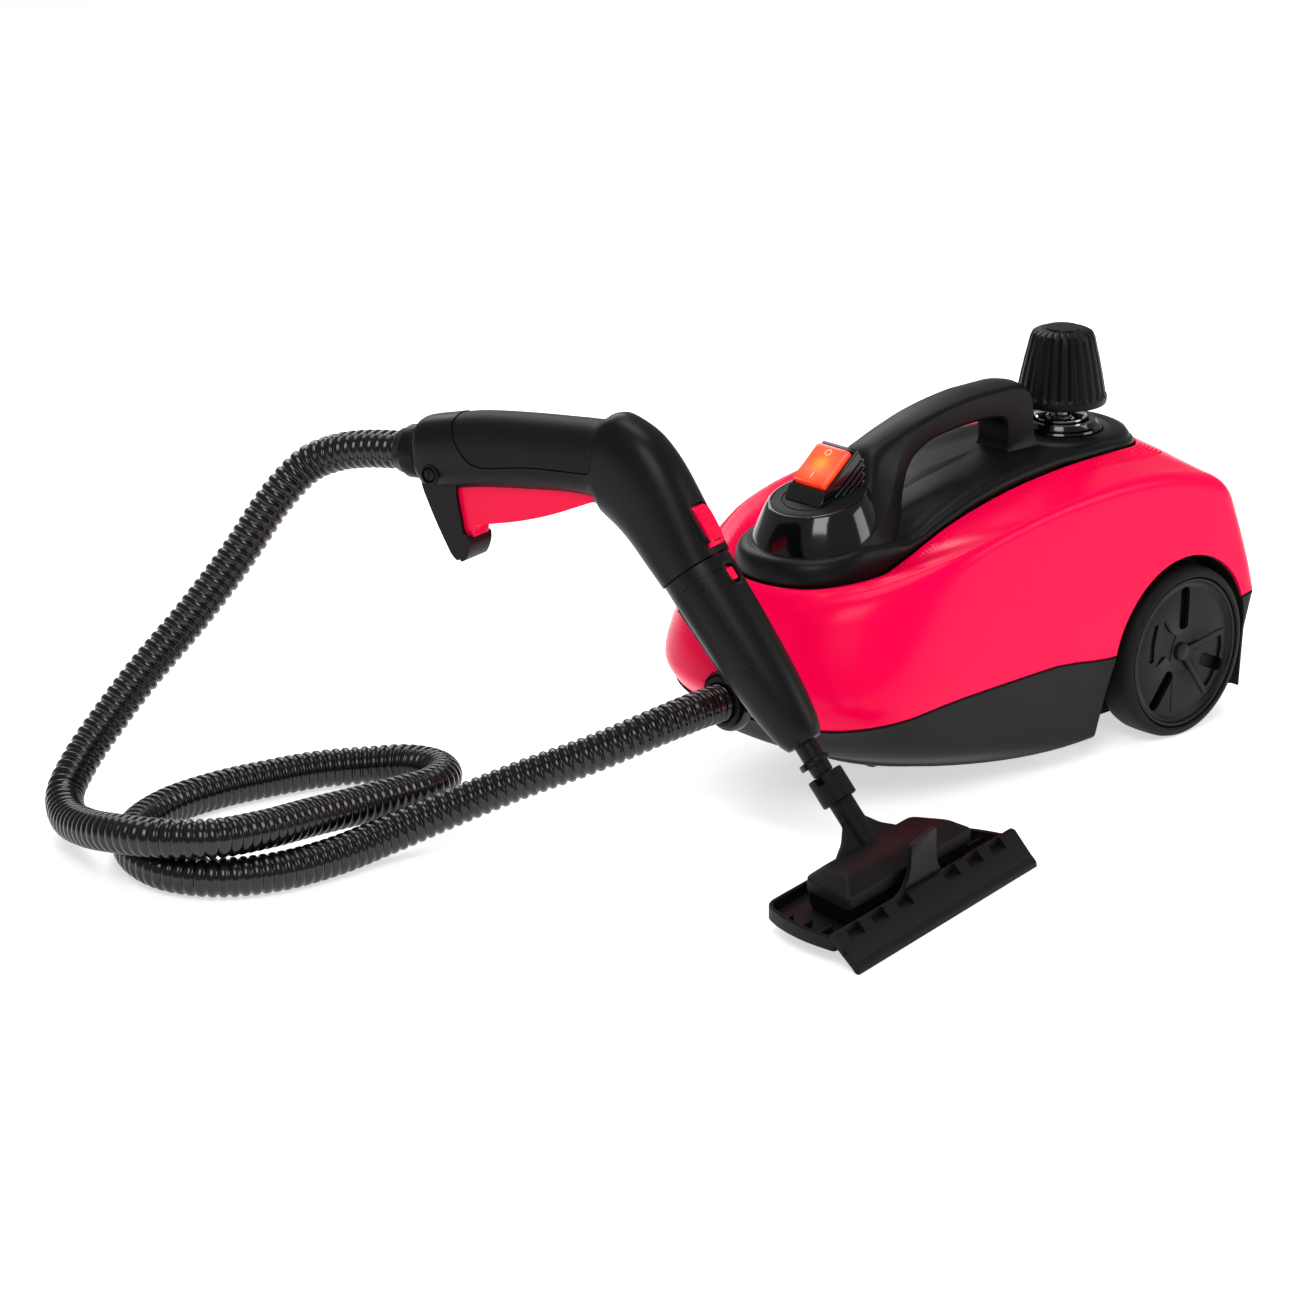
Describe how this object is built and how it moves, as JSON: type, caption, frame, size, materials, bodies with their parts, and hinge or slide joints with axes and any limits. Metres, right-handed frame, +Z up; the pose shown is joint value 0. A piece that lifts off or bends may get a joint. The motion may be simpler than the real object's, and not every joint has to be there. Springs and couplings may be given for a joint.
{
  "type": "canister steam cleaner",
  "caption": "Canister steam cleaner with a screw filler cap, rocker switch and carry handle, joined by a ribbed hose to a trigger handset with an extension tube, brush and squeegee.",
  "frame": {"origin": "on the floor under the centre of the box round the machine and its standing handset, hose left out", "axes": "+X towards the machine's rear wheels and filler cap, +Y towards the side the hose lies on, +Z up"},
  "size_m": [0.778, 0.5259, 0.274],
  "materials": {
    "shell_red": "glossy",
    "satin_black": "satin",
    "gloss_black": "glossy",
    "soft_black": "soft matte",
    "rubber_black": "matte",
    "chrome": "polished",
    "cast_alloy": "as cast",
    "spring_steel": "plain",
    "brass": "plain",
    "rocker_orange": "translucent glossy",
    "ceramic_cream": "matte"
  },
  "bodies": {
    "machine": {"lower_base": "satin_black", "upper_shell": "shell_red", "top_panel": "satin_black", "switch_dome": "gloss_black", "switch_bezel": "soft_black", "carry_handle": "satin_black", "boiler_lower": "cast_alloy", "boiler_upper": "cast_alloy", "boiler_bracket": "spring_steel", "heating_element": "spring_steel", "thermostat": "ceramic_cream", "thermal_fuse": "ceramic_cream", "steam_valve": "brass", "boiler_pipe": "brass", "outlet_pipe": "brass", "terminal_block": "ceramic_cream", "cord_gland": "satin_black", "hose_socket": "satin_black", "hose": "gloss_black", "base_screw_1": "spring_steel", "base_screw_2": "spring_steel", "base_screw_3": "spring_steel", "base_screw_4": "spring_steel", "rear_axle": "spring_steel", "neck_ring": "gloss_black"},
    "rocker": {"switch_rocker": "rocker_orange"},
    "rear_wheel_right": {"wheel_right": "satin_black", "tyre_right": "rubber_black"},
    "rear_wheel_left": {"wheel_left": "satin_black", "tyre_left": "rubber_black"},
    "caster": {"caster_fork": "satin_black", "caster_pin": "spring_steel"},
    "caster_roller": {"caster_wheel": "rubber_black"},
    "filler_seal": {"cap_seal": "rubber_black"},
    "filler_plug": {"cap_plug": "chrome", "cap_spring": "spring_steel"},
    "filler_knob": {"cap_knob": "satin_black"},
    "handset": {"gun_shell_left": "satin_black", "gun_shell_right": "satin_black", "grip_insert": "soft_black", "trigger_pin": "spring_steel", "trigger_spring": "spring_steel", "microswitch": "soft_black", "gun_pipe": "rubber_black", "hose_cuff": "satin_black", "gun_screw_1": "spring_steel", "gun_screw_2": "spring_steel", "latch_pin": "spring_steel", "outlet_spigot": "satin_black", "outlet_seal": "rubber_black", "adapter_tube": "satin_black", "jet_nozzle": "satin_black"},
    "trigger_lever": {"trigger": "shell_red"},
    "lock_slider": {"lock_button": "satin_black"},
    "release_lever": {"release_latch": "shell_red"},
    "brush": {"brush_cover": "satin_black", "brush_base": "satin_black", "squeegee_frame": "satin_black", "squeegee_lip": "rubber_black"}
  },
  "joints": [
    {"name": "rocker_turn", "type": "hinge", "parent": "machine", "child": "rocker", "pos_m": [-0.0566, 0.0293, 0.2094], "axis": [0, 1, 0], "range_deg": [0, 12]},
    {"name": "wheel_right_roll", "type": "hinge", "parent": "machine", "child": "rear_wheel_right", "pos_m": [0.1814, -0.0587, 0.058], "axis": [0, 1, 0], "continuous": true},
    {"name": "wheel_left_roll", "type": "hinge", "parent": "machine", "child": "rear_wheel_left", "pos_m": [0.1814, 0.1173, 0.058], "axis": [0, 1, 0], "continuous": true},
    {"name": "caster_swivel", "type": "hinge", "parent": "machine", "child": "caster", "pos_m": [-0.0196, 0.0293, 0.012], "axis": [0, 0, 1], "continuous": true},
    {"name": "caster_roll", "type": "hinge", "parent": "caster", "child": "caster_roller", "pos_m": [-0.0116, 0.0293, 0.012], "axis": [0, 1, 0], "continuous": true},
    {"name": "cap_lift", "type": "slide", "parent": "machine", "child": "filler_seal", "axis": [0, 0, 1], "range_m": [0, 0.009]},
    {"name": "cap_turn", "type": "hinge", "parent": "filler_seal", "child": "filler_plug", "pos_m": [0.1644, 0.0293, 0.2], "axis": [0, 0, 1], "range_deg": [0, 1080]},
    {"name": "cap_press", "type": "slide", "parent": "filler_plug", "child": "filler_knob", "axis": [0, 0, -1], "range_m": [0, 0.005], "stiffness_N_per_m": 900, "springref_m": -0.002, "deforming": ["cap_spring"]},
    {"name": "handset_lift", "type": "slide", "parent": "machine", "child": "handset", "axis": [0, 0, 1], "range_m": [0, 0.1]},
    {"name": "trigger_squeeze", "type": "hinge", "parent": "handset", "child": "trigger_lever", "pos_m": [-0.22144, 0.06451, 0.231], "axis": [0.9764, 0.216, 0], "range_deg": [0, 6], "stiffness_Nm_per_rad": 2, "springref_deg": -5.73, "deforming": ["trigger_spring"]},
    {"name": "lock_push", "type": "slide", "parent": "handset", "child": "lock_slider", "axis": [0.9764, 0.216, 0], "range_m": [0, 0.003]},
    {"name": "release_press", "type": "hinge", "parent": "handset", "child": "release_lever", "pos_m": [-0.20331, -0.01742, 0.20214], "axis": [-0.9764, -0.216, 0], "range_deg": [0, 4], "stiffness_Nm_per_rad": 0.6, "springref_deg": -5.73},
    {"name": "brush_turn", "type": "hinge", "parent": "handset", "child": "brush", "pos_m": [-0.1786, -0.12911, 0.0372], "axis": [-0.1377, 0.6224, 0.7705], "range_deg": [0, 30]}
  ],
  "couplings": [
    {"joint": "cap_lift", "follows": "cap_turn", "m_per_rad": 0.00047746}
  ]
}
